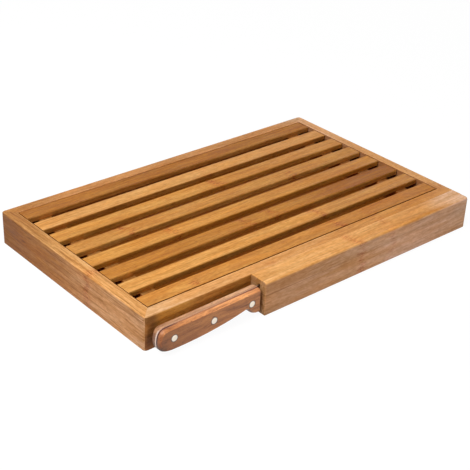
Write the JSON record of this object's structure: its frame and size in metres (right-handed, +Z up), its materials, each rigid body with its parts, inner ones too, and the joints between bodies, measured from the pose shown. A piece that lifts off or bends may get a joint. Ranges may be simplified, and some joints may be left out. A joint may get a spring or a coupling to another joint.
{
  "type": "bread board",
  "caption": "Slatted wooden bread board: a lift-out grille over a crumb tray in a mitred frame, with a riveted bread knife stored in a slit along the front.",
  "frame": {"origin": "centre of the board's rectangle, on the surface that the board stands on", "axes": "+X to the right along the slats, with the knife's handle at the left end; +Y to the back, away from the knife; +Z up"},
  "size_m": [0.38, 0.243, 0.033],
  "materials": {
    "bamboo": "oiled satin",
    "bamboo_brown": "oiled satin",
    "bamboo_pale": "oiled satin",
    "handle_wood": "polished satin",
    "blade_steel": "brushed",
    "rivet_metal": "satin"
  },
  "bodies": {
    "frame": {"left_rail": "bamboo_brown", "right_rail": "bamboo", "back_rail": "bamboo_brown", "front_rail": "bamboo", "crumb_floor": "bamboo_pale", "housing_outer": "bamboo", "housing_inner": "bamboo"},
    "grille": {"slat_1": "bamboo", "slat_2": "bamboo", "slat_3": "bamboo", "slat_4": "bamboo", "slat_5": "bamboo", "slat_6": "bamboo", "slat_7": "bamboo", "slat_8": "bamboo", "batten_left": "bamboo_brown", "batten_right": "bamboo_brown"},
    "knife": {"blade": "blade_steel", "scale_outer": "handle_wood", "scale_inner": "handle_wood", "rivet_guard": "rivet_metal", "rivet_middle": "rivet_metal", "rivet_butt": "rivet_metal"}
  },
  "joints": [
    {"name": "knife_slide", "type": "slide", "parent": "frame", "child": "knife", "axis": [-1, 0, 0], "range_m": [0, 0.205]},
    {"name": "grille_lift", "type": "slide", "parent": "frame", "child": "grille", "axis": [0, 0, 1], "range_m": [0, 0.04]}
  ]
}
